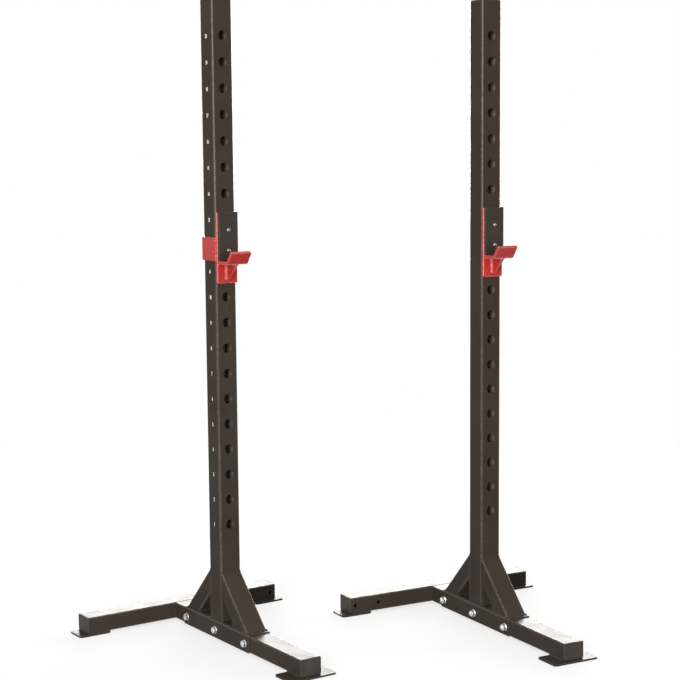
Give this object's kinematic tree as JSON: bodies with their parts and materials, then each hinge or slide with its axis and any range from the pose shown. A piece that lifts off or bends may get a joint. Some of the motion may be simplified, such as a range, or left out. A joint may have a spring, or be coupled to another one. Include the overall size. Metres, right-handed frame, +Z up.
{
  "type": "squat stand",
  "caption": "Pair of free-standing squat stands: perforated square uprights on bolted T-shaped bases, each with a hooked J-cup that holds one end of a barbell.",
  "frame": {"origin": "on the floor, at the middle of the pair's plan box", "axes": "+Z up; -Y is the way the left stand faces, with its J-cup and its long leg in front; +X runs from the left stand to the right one"},
  "size_m": [1.3264, 1.0018, 1.6833],
  "materials": {
    "black_coat": "warm black satin powder coat on steel",
    "red_coat": "red satin powder coat on steel",
    "zinc_fasteners": "bright zinc plate",
    "cap_plastic": "moulded black polyethylene",
    "liner_plastic": "machined black polyethylene"
  },
  "bodies": {
    "stands": {"left_stem": "black_coat", "left_crossbar": "black_coat", "left_stem_end_cap": "cap_plastic", "left_crossbar_cap_outer": "cap_plastic", "left_crossbar_cap_inner": "cap_plastic", "left_foot_front": "black_coat", "left_foot_outer": "black_coat", "left_foot_inner": "black_coat", "left_saddle": "black_coat", "left_upright": "black_coat", "left_brace_front": "black_coat", "left_brace_rear": "black_coat", "left_top_plug": "cap_plastic", "left_bolt_rear": "zinc_fasteners", "left_bolt_middle": "zinc_fasteners", "left_bolt_front": "zinc_fasteners", "left_nut_rear": "zinc_fasteners", "left_nut_middle": "zinc_fasteners", "left_nut_front": "zinc_fasteners", "right_stem": "black_coat", "right_crossbar": "black_coat", "right_stem_end_cap": "cap_plastic", "right_crossbar_cap_outer": "cap_plastic", "right_crossbar_cap_inner": "cap_plastic", "right_foot_front": "black_coat", "right_foot_outer": "black_coat", "right_foot_inner": "black_coat", "right_saddle": "black_coat", "right_upright": "black_coat", "right_brace_front": "black_coat", "right_brace_rear": "black_coat", "right_top_plug": "cap_plastic", "right_bolt_rear": "zinc_fasteners", "right_bolt_middle": "zinc_fasteners", "right_bolt_front": "zinc_fasteners", "right_nut_rear": "zinc_fasteners", "right_nut_middle": "zinc_fasteners", "right_nut_front": "zinc_fasteners"},
    "left_cup": {"left_cup_plate": "red_coat", "left_cup_seat": "red_coat", "left_cup_gusset": "red_coat", "left_cup_wrap": "red_coat", "left_cup_pin": "zinc_fasteners", "left_cup_liner": "liner_plastic", "left_liner_screw_upper": "zinc_fasteners", "left_liner_screw_lower": "zinc_fasteners"},
    "right_cup": {"right_cup_plate": "red_coat", "right_cup_seat": "red_coat", "right_cup_gusset": "red_coat", "right_cup_wrap": "red_coat", "right_cup_pin": "zinc_fasteners", "right_cup_liner": "liner_plastic", "right_liner_screw_upper": "zinc_fasteners", "right_liner_screw_lower": "zinc_fasteners"}
  },
  "joints": [
    {"name": "left_cup_swing", "type": "hinge", "parent": "stands", "child": "left_cup", "pos_m": [-0.34122, 0.21494, 1.12], "axis": [0, 1, 0], "range_deg": [0, 90]},
    {"name": "right_cup_swing", "type": "hinge", "parent": "stands", "child": "right_cup", "pos_m": [0.31478, -0.06906, 1.12], "axis": [-0.1011, -0.9949, 0], "range_deg": [0, 90]}
  ]
}
